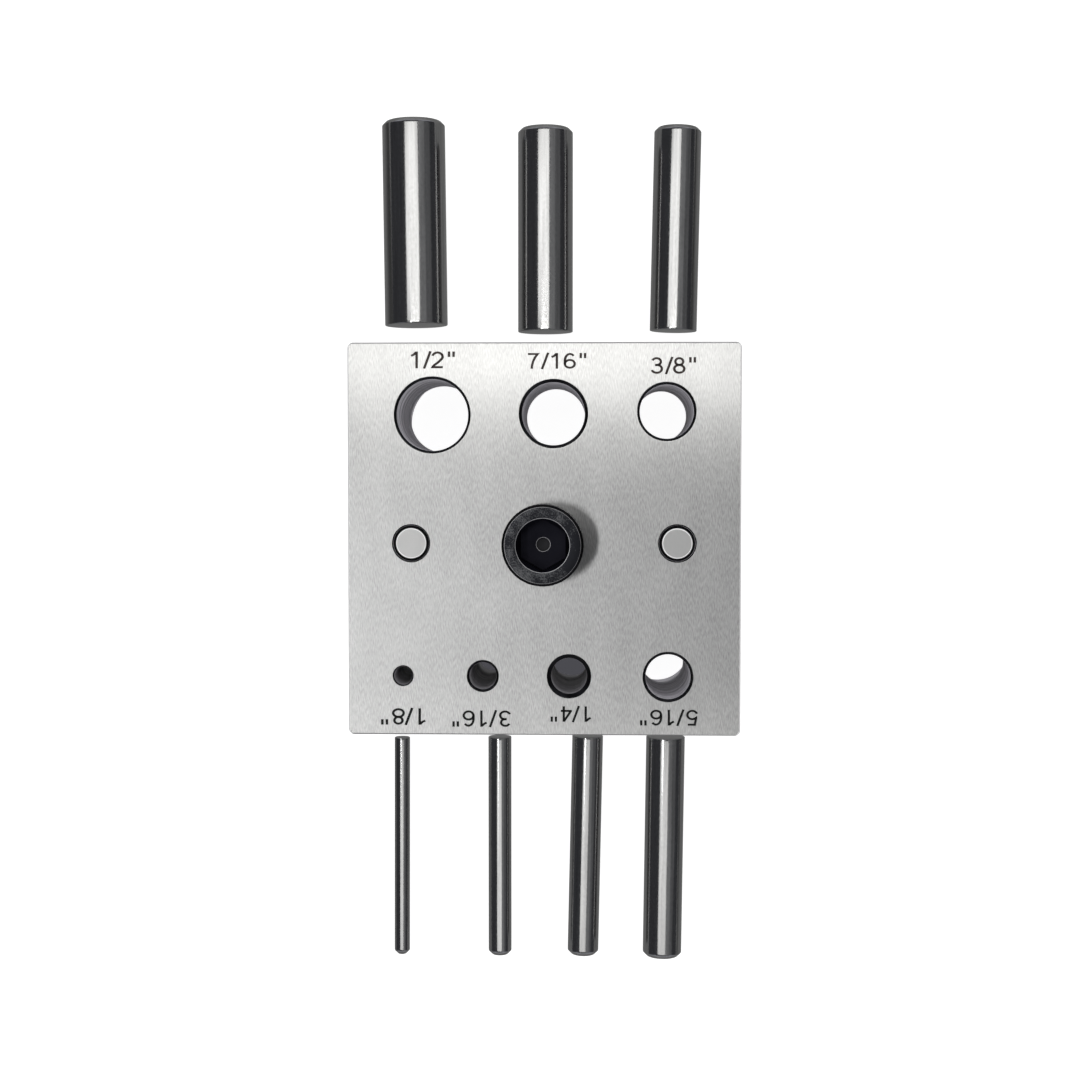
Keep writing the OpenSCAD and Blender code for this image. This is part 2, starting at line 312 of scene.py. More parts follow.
class Finish:
    """The node tree of one finish."""

    def __init__(self, name):
        self.material = bpy.data.materials.new(name)
        self.material.use_nodes = True
        self.tree = self.material.node_tree
        self.tree.nodes.clear()

    def node(self, kind, settings=None, inputs=None, output=0):
        """Adds a node: its settings first, then the values and links of its sockets."""
        made = self.tree.nodes.new(kind)
        for name, value in (settings or {}).items():
            setattr(made, name, value)
        for name, value in (inputs or {}).items():
            if isinstance(value, Signal):
                self.tree.links.new(value.socket, made.inputs[name])
            else:
                made.inputs[name].default_value = value
        return Signal(self, made.outputs[output])

    def vector_math(self, operation, *values):
        return self.node("ShaderNodeVectorMath", {"operation": operation}, dict(enumerate(values)))

    def millimetres(self, attribute=None):
        """Where a point of the piece is, in millimetres: in the piece's own attribute or in its object."""
        if attribute:
            place = self.node("ShaderNodeAttribute", {"attribute_name": attribute}, output="Vector")
        else:
            place = self.node("ShaderNodeTexCoord", output="Object")
        return self.vector_math("MULTIPLY", place, (1000, 1000, 1000))

    def parts(self, vector):
        """The X, Y and Z of a vector."""
        across = self.node("ShaderNodeSeparateXYZ", None, {0: vector})
        return [Signal(self, socket) for socket in across.socket.node.outputs]

    def noise(self, place, per_mm, detail=2.0, turn=0.0):
        """Noise with so many features to a millimetre along X, Y and Z. A turn hides the noise's own grid."""
        scaled = self.vector_math("MULTIPLY", place, per_mm)
        if turn:
            inputs = {"Vector": scaled, "Angle": turn}
            scaled = self.node("ShaderNodeVectorRotate", {"rotation_type": "Z_AXIS"}, inputs)
        return self.node("ShaderNodeTexNoise", None, {"Vector": scaled, "Scale": 1.0, "Detail": detail})

    def blend(self, share, low, high):
        """A colour between two others."""
        low, high = (colour if isinstance(colour, Signal) else (*colour, 1.0) for colour in (low, high))
        return self.node("ShaderNodeMix", {"data_type": "RGBA"}, {0: share, 6: low, 7: high}, output=2)

    def bump(self, height, strength, distance):
        """A normal that follows small heights."""
        inputs = {"Strength": strength, "Distance": distance, "Height": height}
        return self.node("ShaderNodeBump", None, inputs)

    def close(self, **sockets):
        """Ends the tree in a principled shader with these sockets."""
        inputs = {name.replace("_", " "): value for name, value in sockets.items()}
        shader = self.node("ShaderNodeBsdfPrincipled", None, inputs)
        out = self.tree.nodes.new("ShaderNodeOutputMaterial")
        self.tree.links.new(shader.socket, out.inputs["Surface"])
        return self.material


def darker(colour, share):
    """A colour with that share of its light."""
    return tuple(channel * share for channel in colour)


def ground_steel(
    name, colour, roughness, grain, broad, depth=0.2, bands=0.15, shade=0.6, relief=0.1, streaked=0.0,
    metallic=1.0, attribute=None,
):
    """Machined steel. grain and broad are the fine and the broad streaks, in features to a millimetre."""
    finish = Finish(name)
    place = finish.millimetres(attribute)
    fine = finish.noise(place, grain, 3.0, turn=0.6)
    wide = finish.noise(place, broad, 1.0)
    tone = 0.5 + (fine - 0.5) * (depth * 4) + (wide - 0.5) * (bands * 4)
    base = finish.blend(tone, darker(colour, shade), colour)
    return finish.close(
        Base_Color=base,
        Metallic=metallic,
        Roughness=roughness + (fine - 0.5) * 0.1,
        Anisotropic=streaked,
        Normal=finish.bump(fine, relief, 0.02 * MM),
    )


def plain_metal(name, colour, roughness, metallic=1.0):
    """A narrow machined surface with no pattern of its own."""
    finish = Finish(name)
    cloud = finish.noise(finish.millimetres(), (0.8, 0.8, 0.8), 1.0)
    base = finish.blend(cloud, darker(colour, 0.7), colour)
    return finish.close(Base_Color=base, Metallic=metallic, Roughness=roughness)


def reamed_wall(name, colour):
    """Walls of the bores, with the reamer's rings, and painted shade that darkens the walls of the three
    smallest.
    """
    finish = Finish(name)
    place = finish.millimetres()
    across, along, level = finish.parts(place)
    fine = finish.noise(place, (0.1, 0.1, 1.1), 3.0)
    climb = (level + finish.noise(place, (0.3, 0.3, 0.1)) * 3.0) * 0.22
    ring = climb.fraction().above(0.88)
    # Painted shade: the walls of the three smallest bores are darkened in colour
    darker_part = (1.0 - along.above(-12.0)) * (1.0 - across.above(12.0))
    tone = (0.45 + (fine - 0.5) * 1.6 + ring * 0.4) * (1.0 - darker_part * 0.6)
    base = finish.blend(tone, darker(colour, 0.15), colour)
    return finish.close(Base_Color=base, Metallic=0.15, Roughness=0.5)


def broken_edge(name, colour):
    """The filed edges of a plate, darker along the front and the rear, and darkest along the front."""
    finish = Finish(name)
    along = finish.parts(finish.millimetres())[1] - BLOCK_MIDDLE.y / MM
    darker_part = abs(along).above(HALF_SIDE / MM - 0.21)
    darker_edge = finish.blend(along.above(0.0), darker(colour, 0.2), darker(colour, 0.4))
    return finish.close(Base_Color=finish.blend(darker_part, colour, darker_edge), Metallic=0.6, Roughness=0.5)


def scuffed_oxide(name, colour, scuff, roughness):
    """Black oxide that handling has rubbed to a lighter grey, least on the right of the head."""
    finish = Finish(name)
    place = finish.millimetres()
    across, along, _ = finish.parts(finish.vector_math("SUBTRACT", place, (*(SCREW_AXIS / MM), 0.0)))
    handled = abs(along) - across * 0.6
    patches = finish.noise(place, (0.5, 0.5, 0.5), 2.0)
    scratch = finish.noise(place, (4.5, 4.0, 2.0), 4.0)
    rub = (handled * 0.03 + patches * 0.9 + scratch).ramp(1.02, 1.46)
    return finish.close(
        Base_Color=finish.blend(rub, colour, scuff),
        Metallic=0.85,
        Roughness=roughness + rub * 0.1,
        Normal=finish.bump(scratch, 0.3, 0.03 * MM),
    )


def finish_named(name, make, *values, **options):
    """The material of that name, made at its first use."""
    return bpy.data.materials.get(name) or make(name, *values, **options)


# Places of a plate's finishes
FACE, WALL, BEVEL, SIDE, EDGE = range(5)


def plate_finishes(settings):
    """Finishes of a plate: ground face, bore wall, bevel, side and broken edge."""
    ground = {"streaked": 0.9, "depth": 0.32, "bands": 0.05, "shade": 0.35, "relief": 0.05}
    dull = {"depth": 0.3, "metallic": 0.75}
    face_streaks = (7.0, 1.0, 1.0), (0.25, 0.08, 0.3)
    side_streaks = (0.35, 0.35, 3.5), (0.04, 0.04, 0.6)
    return [
        finish_named("ground face", ground_steel, settings.plate, 0.31, *face_streaks, **ground),
        finish_named("reamed wall", reamed_wall, settings.wall),
        # The bevel finish is painted shade, near black
        finish_named("dark bevel", plain_metal, settings.bevel, 0.35),
        finish_named("ground side", ground_steel, settings.side, 0.38, *side_streaks, **dull),
        finish_named("broken edge", broken_edge, settings.edge),
    ]


def eased(profile, radius):
    """A profile of (across, up) or (across, up, skin) points, with a small arc at each of its corners."""
    steps = 3
    points = [complex(across, up) for across, up, *_ in profile]
    out = [profile[0]]
    for i in range(1, len(points) - 1):
        back, ahead = points[i - 1] - points[i], points[i + 1] - points[i]
        middle = back / abs(back) + ahead / abs(ahead)
        if abs(middle) < STRAIGHT:
            out.append(profile[i])
            continue
        half = abs(cmath.phase(ahead / back)) / 2
        reach = min(radius / math.tan(half), 0.45 * abs(back), 0.45 * abs(ahead))
        start, end = points[i] + back / abs(back) * reach, points[i] + ahead / abs(ahead) * reach
        centre = points[i] + middle / abs(middle) * reach / math.cos(half)
        arm = start - centre
        sweep = cmath.phase((end - centre) / arm)
        for k in range(steps + 1):
            point = centre + arm * cmath.rect(1, sweep * k / steps)
            skin = profile[i + 1 if k else i][2:]
            out.append((point.real, point.imag, *skin))
    out.append(profile[-1])
    return out


def grow(bm, ring, place, skin):
    """Extrudes a ring of edges, puts each new point where place says, and returns the new ring."""
    made = bmesh.ops.extrude_edge_only(bm, edges=ring)["geom"]
    points = {v for v in made if isinstance(v, bmesh.types.BMVert)}
    for v in points:
        v.co = place(v.co)
    for face in made:
        if isinstance(face, bmesh.types.BMFace):
            face.material_index = skin
            face.smooth = True
    return [e for e in made if isinstance(e, bmesh.types.BMEdge) and points.issuperset(e.verts)]


def turned_wall(bm, axis, profile, sides):
    """Rings about an upright axis, along (radius, level, skin). Radius and level may depend on the angle."""

    def placed(co, radius, level):
        arm = Vector((co.x - axis.x, co.y - axis.y))
        angle = math.atan2(arm.y, arm.x)
        arm.normalize()
        out = arm * (radius(angle) if callable(radius) else radius)
        return Vector((axis.x + out.x, axis.y + out.y, level(angle) if callable(level) else level))

    radius, level, _ = profile[0]
    place = Matrix.Translation((axis.x, axis.y, level))
    circle = bmesh.ops.create_circle(bm, segments=sides, radius=radius, matrix=place)["verts"]
    first = ring = list({edge for v in circle for edge in v.link_edges})
    for radius, level, skin in profile[1:]:
        ring = grow(bm, ring, lambda co: placed(co, radius, level), skin)
    return first, ring


def square_wall(bm, half, corner, profile):
    """The outer wall of a square plate with round corners, along a profile of (inset, level, skin)."""

    def placed(co, inset, level):
        centre = Vector((math.copysign(half - corner, co.x), math.copysign(half - corner, co.y)))
        out = (co.xy - centre).normalized() * (corner - inset)
        return Vector((centre.x + out.x, centre.y + out.y, level))

    square = bmesh.ops.create_grid(bm, x_segments=1, y_segments=1, size=half)["verts"]
    rounding = {"affect": "VERTICES", "segments": 8, "profile": 0.5, "material": -1}
    bmesh.ops.bevel(bm, geom=square, offset=corner, offset_type="OFFSET", **rounding)
    bmesh.ops.delete(bm, geom=bm.faces[:], context="FACES_ONLY")
    first = ring = bm.edges[:]
    inset, level, _ = profile[0]
    for v in bm.verts:
        v.co = placed(v.co, inset, level)
    for inset, level, skin in profile[1:]:
        ring = grow(bm, ring, lambda co: placed(co, inset, level), skin)
    bmesh.ops.translate(bm, verts=bm.verts, vec=BLOCK_MIDDLE.to_3d())
    return first, ring


def close_flat(bm, rings):
    """Fills the flat face between an outer ring and the rings of its holes."""
    edges = [edge for ring in rings for edge in ring]
    for face in bmesh.ops.triangle_fill(bm, use_beauty=True, edges=edges)["geom"]:
        if isinstance(face, bmesh.types.BMFace):
            face.material_index = FACE
            face.smooth = False


def close_end(bm, ring, skin):
    """Fills the round end of a wall."""
    for face in bmesh.ops.edgeloop_fill(bm, edges=ring)["faces"]:
        face.material_index = skin
        face.smooth = False


def wind(bm, section, axis, rise, turns):
    """Winds a section of vertices and edges up an axis, by rise a turn, and closes both of its ends."""
    steps = 32
    way = {"cent": (axis.x, axis.y, 0), "axis": (0, 0, 1), "dvec": (0, 0, rise / steps)}
    wound = bmesh.ops.spin(bm, geom=section, angle=math.tau * turns, steps=steps * turns, **way)
    for end in (section, wound["geom_last"]):
        close_end(bm, [edge for edge in end if isinstance(edge, bmesh.types.BMEdge)], 0)


def turned(bm, profile, sides):
    """Spins a profile of (radius, level) about Z. It starts and ends on the axis."""
    points = [bm.verts.new((radius, 0.0, level)) for radius, level in profile]
    edges = [bm.edges.new(pair) for pair in zip(points, points[1:])]
    whole = {"cent": (0, 0, 0), "axis": (0, 0, 1), "angle": math.tau, "use_merge": True}
    bmesh.ops.spin(bm, geom=points + edges, steps=sides, **whole)
    bmesh.ops.remove_doubles(bm, verts=bm.verts, dist=MERGE)


def add_object(name, data):
    """A new object in the scene."""
    made = bpy.data.objects.new(name, data)
    bpy.context.scene.collection.objects.link(made)
    return made


def add_mesh(name, bm, materials):
    """A new object whose mesh is the bmesh, with these materials."""
    mesh = bpy.data.meshes.new(name)
    bm.to_mesh(mesh)
    bm.free()
    for material in materials:
        mesh.materials.append(material)
    return add_object(name, mesh)


def add_piece(name, bm, finishes, sharp=30.0):
    """Makes the bmesh a piece with these finishes. Edges over sharp degrees stay sharp."""
    bmesh.ops.remove_doubles(bm, verts=bm.verts, dist=MERGE)
    bmesh.ops.recalc_face_normals(bm, faces=bm.faces)
    piece = add_mesh(name, bm, finishes)
    mesh = piece.data
    mesh.set_sharp_from_angle(angle=math.radians(sharp))
    # With its texture space this far off, a streaked gloss stretches along X all over the piece
    mesh.use_auto_texspace = False
    mesh.texspace_location, mesh.texspace_size = (0.0, -1000.0, 0.0), (1.0, 1.0, 1.0)
    return piece


def edge_profile(low, high, bevel, high_skin=EDGE, low_skin=EDGE):
    """(inset, level, skin) down the outside of a plate."""
    return [
        (bevel + LEAD, high, FACE),
        (bevel, high, FACE),
        (0.0, high - bevel, high_skin),
        (0.0, low + bevel, SIDE),
        (bevel, low, low_skin),
        (bevel + LEAD, low, FACE),
    ]


def bored_plate(block, outside, holes):
    """A plate in a bmesh, with an outer wall and holes of (axis, corners, sides, whether blind)."""
    bm = bmesh.new()
    top, bottom = square_wall(bm, HALF_SIDE, block.corner_radius, eased(outside, block.edge_ease))
    tops, bottoms = [top], [bottom]
    for axis, corners, sides, blind in holes:
        high_ring, low_ring = turned_wall(bm, axis, eased(corners, block.edge_ease), sides)
        tops.append(high_ring)
        if blind:
            close_end(bm, low_ring, WALL)
        else:
            bottoms.append(low_ring)
    close_flat(bm, tops)
    close_flat(bm, bottoms)
    return bm


def cutting_bores():
    """Axis, radius and depth of each cutting bore, down to the end of its land."""
    for mount in BORES:
        x, y, _ = mount["pos_m"]
        yield Vector((x, y)), mount["dims"]["r_mm"] * MM, mount["dims"]["length_mm"] * MM


class CUTTER_OT_top_plate(Operator):
    """Build the top plate with its bores"""

    bl_idname = "cutter.top_plate"
    bl_label = "Top plate"

    def execute(self, context):
        cutter = context.scene.cutter
        block, screw, spring = cutter.block, cutter.screw, cutter.spring
        low = block.lower_bevel

        def bore(axis, radius, mouth, low_radius=None, step_level=None):
            corners = [
                (radius + mouth + LEAD, BLOCK_TOP, FACE),
                (radius + mouth, BLOCK_TOP, FACE),
                (radius, BLOCK_TOP - mouth, BEVEL),
            ]
            if step_level:
                corners += [(radius, step_level, WALL), (low_radius, step_level, WALL)]
                radius = low_radius
            corners += [
                (radius, JOINT_LEVEL + low, WALL),
                (radius + low, JOINT_LEVEL, WALL),
                (radius + low + LEAD, JOINT_LEVEL, FACE),
            ]
            return axis, corners, block.bore_sides, False

        holes = []
        for axis, radius, depth in cutting_bores():
            holes.append(bore(axis, radius, BLOCK_TOP - (JOINT_LEVEL - block.land_depth + depth)))
        for node in PINS:
            holes.append(bore(upright_axis(node), half_width(node) + cutter.pin.clearance, low))
        screw_hole = screw.thread_diameter / 2 + screw.plate_clearance
        holes.append(bore(SCREW_AXIS, screw_hole, low, spring.seat_radius, JOINT_LEVEL + spring.seat_depth))
        outside = edge_profile(JOINT_LEVEL, BLOCK_TOP, block.edge_bevel, low_skin=BEVEL)
        bm = bored_plate(block, outside, holes)
        piece = add_piece("top_plate_steel", bm, plate_finishes(cutter.finish))
        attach(piece, "upper")
        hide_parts("top_plate")
        return {"FINISHED"}


class CUTTER_OT_die_plate(Operator):
    """Build the die plate with its cutting lands, relief bores and pin holes"""

    bl_idname = "cutter.die_plate"
    bl_label = "Die plate"

    def execute(self, context):
        cutter = context.scene.cutter
        block, screw, spring = cutter.block, cutter.screw, cutter.spring
        low = block.lower_bevel

        def step_bore(axis, radius, step_level, low_radius):
            corners = [
                (radius + low, JOINT_LEVEL, FACE),
                (radius, JOINT_LEVEL, BEVEL),
                (radius, step_level, WALL),
                (low_radius, step_level, WALL),
                (low_radius, low, WALL),
                (low_radius + low, 0.0, WALL),
                (low_radius + low + LEAD, 0.0, FACE),
            ]
            return axis, corners, block.bore_sides, False

        holes = []
        for axis, radius, _ in cutting_bores():
            holes.append(step_bore(axis, radius, JOINT_LEVEL - block.land_depth, radius + block.relief_step))
        thread = screw.thread_diameter / 2 + screw.thread_clearance
        holes.append(step_bore(SCREW_AXIS, spring.seat_radius, JOINT_LEVEL - spring.seat_depth, thread))
        for node in PINS:
            radius = half_width(node) + cutter.pin.seat_clearance
            wall = [(radius, JOINT_LEVEL, WALL), (radius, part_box(node)[0].z, WALL)]
            holes.append((upright_axis(node), wall, cutter.pin.sides, True))
        outside = edge_profile(0.0, JOINT_LEVEL, block.edge_bevel, high_skin=BEVEL)
        bm = bored_plate(block, outside, holes)
        piece = add_piece("die_plate_steel", bm, plate_finishes(cutter.finish))
        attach(piece, "base")
        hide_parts("die_plate")
        return {"FINISHED"}


class CUTTER_OT_size_marks(Operator):
    """Etch the seven inch sizes beside their bores"""

    bl_idname = "cutter.size_marks"
    bl_label = "Size marks"

    def execute(self, context):
        cutter = context.scene.cutter
        bm = bmesh.new()
        for text, x, y, width, height, from_behind in SIZE_MARKS:
            made = []
            start = 0.0
            for character in text:
                for stroke in CHARACTERS[character]:
                    made += ribbon(bm, [(start + across, up) for across, up in stroke], STROKE)
                start += NARROW.get(character, DIGIT)
            low = [min(v.co[k] for v in made) for k in range(2)]
            high = [max(v.co[k] for v in made) for k in range(2)]
            middle = Matrix.Translation((-(low[0] + high[0]) / 2, -(low[1] + high[1]) / 2, 0.0))
            sizes = width * MM / (high[0] - low[0]), height * MM / (high[1] - low[1])
            scale = Matrix.Diagonal((*sizes, 1.0, 1.0))
            turn = Matrix.Rotation(math.pi if from_behind else 0.0, 4, "Z")
            level = BLOCK_TOP + cutter.block.mark_depth / 2
            place = Matrix.Translation((BLOCK_MIDDLE.x + x * MM, BLOCK_MIDDLE.y + y * MM, level))
            bmesh.ops.transform(bm, matrix=place @ turn @ scale @ middle, verts=made)
            for face in {face for v in made for face in v.link_faces}:
                face.material_index = int(from_behind)
        bmesh.ops.solidify(bm, geom=bm.faces[:], thickness=cutter.block.mark_depth)
        finishes = [
            finish_named("brown etch", etched, cutter.finish.upper_mark),
            finish_named("black etch", etched, cutter.finish.lower_mark),
        ]
        piece = add_piece("size_marks", bm, finishes)
        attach(piece, "upper")
        return {"FINISHED"}


def ribbon(bm, points, width):
    """A flat stroke of one width along points, closed if it ends where it starts. Returns its vertices."""
    points = [Vector(point) for point in points]
    closed = (points[0] - points[-1]).length < MERGE
    if closed:
        points.pop()
    total = len(points)
    rails = []
    for i, point in enumerate(points):
        ways = []
        if closed or i > 0:
            ways.append((point - points[i - 1]).normalized())
        if closed or i < total - 1:
            ways.append((points[(i + 1) % total] - point).normalized())
        way = sum(ways, Vector((0.0, 0.0))).normalized()
        out = Vector((-way.y, way.x)) * (width / 2 / max(way.dot(ways[0]), 0.5))
        rails.append([bm.verts.new((point + side * out).to_3d()) for side in (1, -1)])
    for (a, b), (c, d) in zip(rails, rails[1:] + rails[:1] if closed else rails[1:]):
        bm.faces.new((a, b, d, c))
    return [v for rail in rails for v in rail]


def etched(name, colour):
    """The dark lines of an etched size mark."""
    finish = Finish(name)
    cloud = finish.noise(finish.millimetres(), (3.0, 3.0, 3.0), 2.0)
    base = finish.blend(cloud, darker(colour, 0.6), darker(colour, 1.3))
    return finish.close(Base_Color=base, Metallic=0.0, Roughness=0.7, Specular_IOR_Level=0.2)


class CUTTER_OT_guide_pins(Operator):
    """Build the two guide pins"""

    bl_idname = "cutter.guide_pins"
    bl_label = "Guide pins"

    def execute(self, context):
        cutter = context.scene.cutter
        bevel = cutter.pin.bevel
        end, side, dark, rim = range(4)
        ground = {"streaked": 0.9, "depth": 0.05, "bands": 0.05}
        end_streaks = (2.5, 0.8, 1.0), (0.4, 0.1, 0.3)
        side_streaks = (0.3, 0.3, 3.0), (0.1, 0.1, 0.5)
        finishes = [
            finish_named("pin end", ground_steel, cutter.finish.pin, 0.34, *end_streaks, **ground),
            finish_named("pin side", ground_steel, cutter.finish.pin, 0.25, *side_streaks),
            # The pins' bevels carry painted shade, near black
            finish_named("dark bevel", plain_metal, cutter.finish.bevel, 0.35),
            # Painted highlight: a light ring round the end of each pin
            finish_named("bright rim", plain_metal, cutter.finish.edge, 0.5, metallic=0.3),
        ]
        # How deep each finish goes down from the end of the pin
        bands = ((MERGE, end), (cutter.pin.rim, rim), (bevel, dark))
        for node in PINS:
            low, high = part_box(node)
            radius = half_width(node)
            bm = bmesh.new()
            corners = [
                (0.0, high.z),
                (radius - bevel - 0.25 * MM, high.z),
                (radius - bevel, high.z),
                (radius, high.z - bevel),
                (radius, low.z + bevel),
                (radius - bevel, low.z),
                (0.0, low.z),
            ]
            turned(bm, eased(corners, cutter.pin.ease), cutter.pin.sides)
            for face in bm.faces:
                depth = high.z - face.calc_center_median().z
                face.material_index = next((skin for limit, skin in bands if depth < limit), side)
                face.smooth = True
            axis = upright_axis(node)
            bmesh.ops.translate(bm, verts=bm.verts, vec=(axis.x, axis.y, 0.0))
            piece = add_piece(node + "_steel", bm, finishes)
            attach(piece, "base")
            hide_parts(node)
        return {"FINISHED"}


def hexagon(width):
    """Distance from a hexagon's middle to its side at an angle, with flats towards +X and -X."""
    step = math.tau / 6
    return lambda angle: width / 2 / math.cos((angle + step / 2) % step - step / 2)


class CUTTER_OT_clamp_screw(Operator):
    """Build the socket head clamp screw with its knurl and thread"""

    bl_idname = "cutter.clamp_screw"
    bl_label = "Clamp screw"

    def execute(self, context):
        cutter = context.scene.cutter
        screw = cutter.screw
        head_radius = half_width("clamp_screw")
        tip, top = (corner.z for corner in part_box("clamp_screw"))
        floor = top - screw.socket_depth
        flats = hexagon(screw.socket_width)
        mouth, bevel = screw.socket_mouth, screw.head_bevel
        shank = screw.thread_diameter / 2
        root = shank - THREAD_DEPTH * screw.pitch
        thread_top = BLOCK_TOP - screw.shank_length

        def knurl(angle):
            return head_radius - screw.knurl_depth * abs((angle * screw.knurls / math.tau) % 1 * 2 - 1)

        oxide, socket, worn, dark, line, drilled = range(6)
        dimple = 1.2 * MM
        profile = [
            (dimple - 0.2 * MM, floor - 0.15 * MM, drilled),
            (dimple - 0.05 * MM, floor - 0.1 * MM, drilled),
            (dimple, floor - 0.02 * MM, drilled),
            # Painted highlight: a thin light line round the drill point
            (dimple + 0.09 * MM, floor, line),
            (3.5 * MM, floor + 0.12 * MM, socket),
            (lambda angle: flats(angle) - 0.02 * MM, floor + 0.14 * MM, socket),
            (flats, floor + 0.2 * MM, socket),
            (flats, lambda angle: top - 0.02 * MM - (mouth - flats(angle)), socket),
            (mouth - 0.05 * MM, top - 0.05 * MM, socket),
            # Painted highlight with wear: light rings at the socket's mouth and round the top of the head
            (mouth - 0.02 * MM, top - 0.02 * MM, worn),
            (mouth + 0.06 * MM, top, worn),
            (head_radius - bevel - 0.1 * MM, top, oxide),
            (head_radius - bevel - 0.05 * MM, top - 0.01 * MM, worn),
            (head_radius - bevel, top - 0.06 * MM, dark),
            (head_radius - 0.05 * MM, top - bevel + 0.03 * MM, dark),
            (knurl, top - bevel - 0.2 * MM, dark),
            (knurl, BLOCK_TOP + 0.5 * MM, oxide),
            (head_radius - 0.25 * MM, BLOCK_TOP + 0.15 * MM, oxide),
            (head_radius - 0.4 * MM, BLOCK_TOP, oxide),
            (shank, BLOCK_TOP, oxide),
            (shank, thread_top, oxide),
            (root, thread_top - 0.8 * MM, oxide),
            (root, tip + 0.4 * MM, oxide),
            (root - 0.4 * MM, tip, oxide),
        ]
        bm = bmesh.new()
        first, last = turned_wall(bm, SCREW_AXIS, profile, screw.knurls * 4)
        close_end(bm, first, drilled)
        close_end(bm, last, oxide)
        self.add_thread(bm, screw, root, shank, tip + 1.0 * MM, thread_top - 0.4 * MM)
        # Name, colour and roughness of the head's socket, edges and drill point; the worn edge is rubbed
        # oxide with a painted highlight, and the socket line is a painted highlight
        turned_marks = (
            ("socket black", (0.01, 0.01, 0.014), 0.5),
            ("worn edge", (0.3, 0.3, 0.31), 0.4),
            ("oxide bevel", (0.012, 0.012, 0.013), 0.4),
            ("socket line", (0.25, 0.25, 0.26), 0.45),
            ("drill point", (0.022, 0.022, 0.024), 0.5),
        )
        settings = cutter.finish
        finishes = [finish_named("black oxide", scuffed_oxide, settings.oxide, settings.scuff, 0.42)]
        finishes += [finish_named(name, plain_metal, colour, rough) for name, colour, rough in turned_marks]
        piece = add_piece("clamp_screw_steel", bm, finishes, sharp=24.0)
        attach(piece, "screw")
        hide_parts("clamp_screw")
        return {"FINISHED"}

    @staticmethod
    def add_thread(bm, screw, root, crest, low, high):
        """A right-hand ridge wound up the core."""
        crest_half = screw.pitch / 16
        root_half = screw.pitch / 2 - crest_half
        rise = [(root - 0.1 * MM, -root_half), (root, -root_half), (crest, -crest_half)]
        section = rise + [(r, -z) for r, z in reversed(rise)]
        points = [bm.verts.new((SCREW_AXIS.x + r, SCREW_AXIS.y, low + z)) for r, z in section]
        edges = [bm.edges.new(pair) for pair in zip(points, points[1:] + points[:1])]
        wind(bm, points + edges, SCREW_AXIS, screw.pitch, int((high - low) / screw.pitch))


class CUTTER_OT_lift_spring(Operator):
    """Wind the lift spring round the screw"""

    bl_idname = "cutter.lift_spring"
    bl_label = "Lift spring"

    def execute(self, context):
        cutter = context.scene.cutter
        spring = cutter.spring
        low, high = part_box("lift_spring")
        axis = SCREW_AXIS
        radius = half_width("lift_spring") - spring.wire / 2
        bm = bmesh.new()
        start = Matrix.Translation((axis.x + radius, axis.y, low.z + spring.wire / 2))
        upright = start @ Matrix.Rotation(math.pi / 2, 4, "X")
        circle = bmesh.ops.create_circle(bm, segments=14, radius=spring.wire / 2, matrix=upright)["verts"]
        edges = list({edge for v in circle for edge in v.link_edges})
        wind(bm, circle + edges, axis, (high.z - low.z - spring.wire) / spring.curls, spring.curls)
        for face in bm.faces:
            face.smooth = len(face.verts) == 4
        finishes = [finish_named("spring wire", plain_metal, cutter.finish.spring, 0.3)]
        piece = add_piece("lift_spring_wire", bm, finishes)
        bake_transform(piece)
        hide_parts("lift_spring")
        return {"FINISHED"}


class CUTTER_OT_punches(Operator):
    """Turn the seven punches and lay them on the bench"""

    bl_idname = "cutter.punches"
    bl_label = "Punches"

    def execute(self, context):
        settings = context.scene.cutter.punch
        colour = context.scene.cutter.finish.punch
        polished = {"depth": 0.16, "bands": 0.25, "relief": 0.05, "attribute": "local"}
        side_streaks = (2.2, 2.2, 1.6), (1.5, 1.5, 0.06)
        end_streaks = (1.2, 1.2, 1.2), (0.3, 0.3, 0.3)
        finishes = [
            finish_named("punch side", ground_steel, colour, 0.14, *side_streaks, **polished),
            finish_named("punch end", ground_steel, colour, 0.35, *end_streaks, attribute="local"),
        ]
        for name, turn in zip(PUNCHES, settings.turns):
            node = "punch_" + name
            low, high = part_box(node)
            middle = (low + high) / 2
            radius = (high.z - low.z) / 2
            long = ((high.y - low.y) - 2 * radius * math.sin(abs(turn))) / math.cos(turn)
            struck = min(settings.struck_bevel, radius / 2)
            cutting, lead = settings.cutting_bevel, 0.4 * MM
            corners = [
                (0.0, 0.0),
                (radius - cutting - lead, 0.0),
                (radius - cutting, 0.0),
                (radius, cutting),
                (radius, cutting + lead),
                (radius, long - struck - lead),
                (radius, long - struck),
                (radius - struck, long),
                (radius - struck - lead, long),
                (0.0, long),
            ]
            bm = bmesh.new()
            turned(bm, eased(corners, settings.ease), settings.sides)
            for face in bm.faces:
                level = face.calc_center_median().z
                face.material_index = int(not cutting < level < long - 0.05 * MM)
                face.smooth = True
            # The streaks follow the punch before it is laid down, and differ from one to the next
            local = bm.verts.layers.float_vector.new("local")
            for v in bm.verts:
                v[local] = v.co + Vector((0.0, 0.0, 0.1 * PUNCHES.index(name)))
            side = math.copysign(1.0, middle.y)
            place = (
                Matrix.Translation(middle)
                @ Matrix.Rotation(turn, 4, "Z")
                @ Matrix.Rotation(-side * math.pi / 2, 4, "X")
                @ Matrix.Translation((0, 0, -long / 2))
            )
            bmesh.ops.transform(bm, matrix=place, verts=bm.verts)
            piece = add_piece(node + "_steel", bm, finishes)
            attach(piece, node)
            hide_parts(node)
        return {"FINISHED"}


def facing(place, target):
    """The turn of a camera or light that looks from place to target, with its right side along X."""
    back = (Vector(place) - Vector(target)).normalized()
    right = Vector((0.0, 1.0, 0.0)).cross(back).normalized()
    return Matrix((right, back.cross(right), back)).transposed().to_euler()


